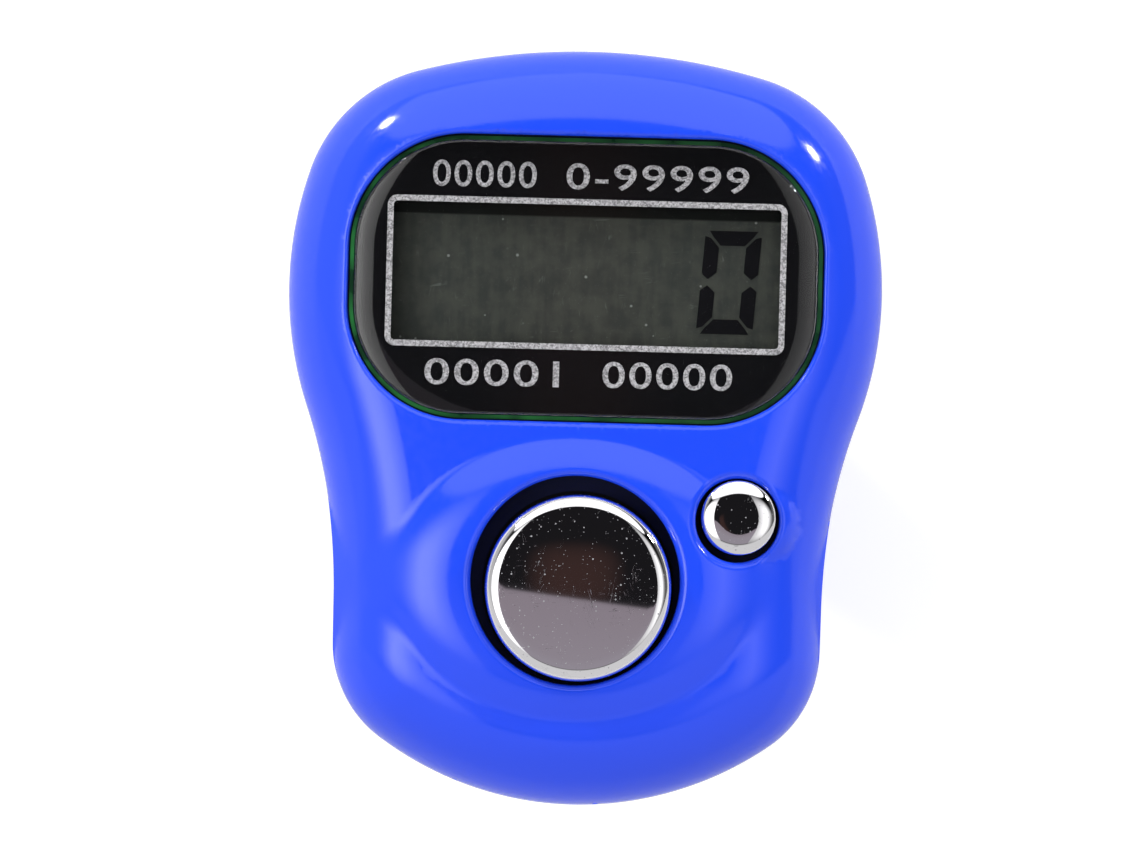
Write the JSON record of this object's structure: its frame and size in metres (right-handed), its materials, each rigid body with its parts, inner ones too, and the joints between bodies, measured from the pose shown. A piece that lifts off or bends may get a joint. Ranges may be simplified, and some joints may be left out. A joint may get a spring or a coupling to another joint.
{
  "type": "digital finger counter",
  "caption": "Hand counter worn on a finger band, with a display window, a large count button and a small reset button that both travel.",
  "frame": {"origin": "on the surface that the counter stands on, under the middle of the case", "axes": "+Z out of the display face, +Y towards the display end, +X to the right as the display is read"},
  "size_m": [0.03, 0.0382, 0.0283],
  "materials": {
    "case_blue": "moulded plastic with an even gloss",
    "band_blue": "soft matt plastic",
    "button_chrome": "bright chrome plating with fine scratches",
    "lens_clear": "clear polished plastic window",
    "window_print": "black print behind the window, with a silver line round the clear area",
    "display_film": "grey polarising film",
    "display_glass": "thin display glass",
    "holder_white": "moulded white plastic",
    "silicone": "layered conductive rubber",
    "board_green": "green solder mask over glass fibre",
    "black_plastic": "black moulding or resin",
    "chip_ceramic": "brown ceramic body",
    "steel": "plain bright steel",
    "nickel": "nickel-plated sheet"
  },
  "bodies": {
    "case": {"front_shell": "case_blue", "rear_cover": "case_blue", "battery_door": "case_blue", "display_lens": "lens_clear", "window_mask": "window_print", "lcd_front_film": "display_film", "lcd_front_glass": "display_glass", "lcd_rear_glass": "display_glass", "lcd_rear_film": "display_film", "lcd_holder": "holder_white", "zebra_strip": "silicone", "circuit_board": "board_green", "chip_glob": "black_plastic", "chip_capacitor": "chip_ceramic", "chip_resistor": "black_plastic", "count_switch_base": "black_plastic", "count_switch_cover": "steel", "count_switch_dome": "steel", "reset_switch_base": "black_plastic", "reset_switch_cover": "steel", "reset_switch_dome": "steel", "battery_cell": "nickel", "battery_negative_contact": "nickel", "battery_positive_contact": "nickel", "battery_door_screw": "steel", "case_screw_upper_right": "steel", "case_screw_upper_left": "steel", "case_screw_lower_right": "steel", "case_screw_lower_left": "steel", "finger_band": "band_blue"},
    "count_key": {"count_button": "button_chrome"},
    "count_plunger": {"count_switch_plunger": "black_plastic"},
    "reset_key": {"reset_button": "button_chrome"},
    "reset_plunger": {"reset_switch_plunger": "black_plastic"}
  },
  "joints": [
    {"name": "count_press", "type": "slide", "parent": "case", "child": "count_key", "axis": [0, 0, -1], "range_m": [0, 0.0005], "stiffness_N_per_m": 800},
    {"name": "count_plunger_press", "type": "slide", "parent": "case", "child": "count_plunger", "axis": [0, 0, -1], "range_m": [0, 0.00025]},
    {"name": "reset_press", "type": "slide", "parent": "case", "child": "reset_key", "axis": [0, 0, -1], "range_m": [0, 0.0005], "stiffness_N_per_m": 800},
    {"name": "reset_plunger_press", "type": "slide", "parent": "case", "child": "reset_plunger", "axis": [0, 0, -1], "range_m": [0, 0.00025]}
  ],
  "couplings": [
    {"joint": "count_plunger_press", "follows": "count_press", "ratio": 0.5},
    {"joint": "reset_plunger_press", "follows": "reset_press", "ratio": 0.5}
  ]
}
